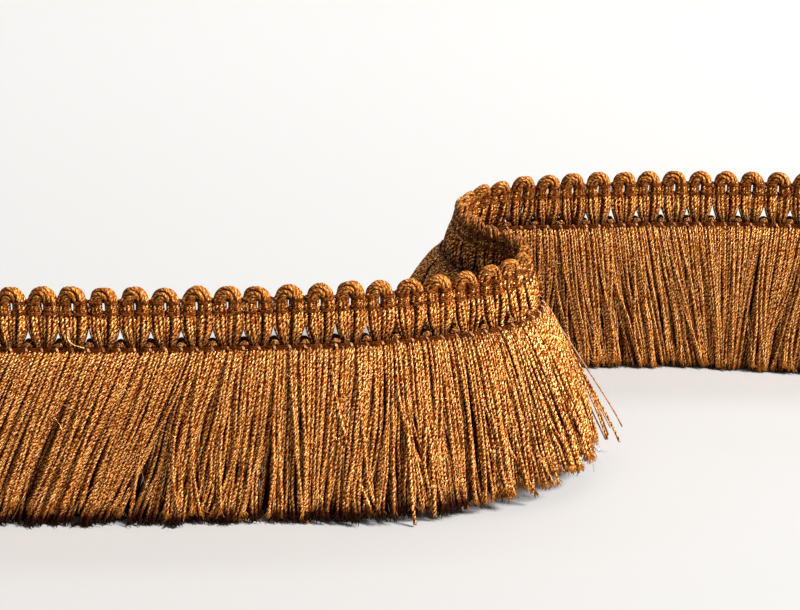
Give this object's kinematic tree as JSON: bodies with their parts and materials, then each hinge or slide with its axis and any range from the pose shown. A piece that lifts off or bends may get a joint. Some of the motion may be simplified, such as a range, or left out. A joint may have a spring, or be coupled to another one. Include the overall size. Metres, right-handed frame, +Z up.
{
  "type": "brush fringe trimming, a cut length standing in an S",
  "caption": "Brush fringe of metallic yarn: a looped gimp heading over a dense cut skirt, standing on its skirt in an S-shaped curve.",
  "frame": {"origin": "middle of the bounding box in plan, on the surface that the ends of the skirt stand on", "axes": "+X along the front run of the S, to its right as the picture shows it; +Y from the front run to the back run; +Z up, from the skirt's ends to the loops"},
  "size_m": [0.2496, 0.1111, 0.05],
  "materials": {
    "looped_yarn": "bronze metallic yarn, twisted, laid in loops",
    "cut_yarn": "bronze metallic yarn, twisted, cut ends down"
  },
  "bodies": {
    "root": {"heading": "looped_yarn", "skirt_front_run_left": "cut_yarn", "skirt_front_run_right": "cut_yarn", "skirt_right_bend_start": "cut_yarn", "skirt_right_bend_in": "cut_yarn", "skirt_right_bend_out": "cut_yarn", "skirt_middle_run": "cut_yarn", "skirt_left_bend_in": "cut_yarn", "skirt_left_bend_out": "cut_yarn", "skirt_back_run_left": "cut_yarn", "skirt_back_run_right": "cut_yarn"}
  },
  "joints": []
}
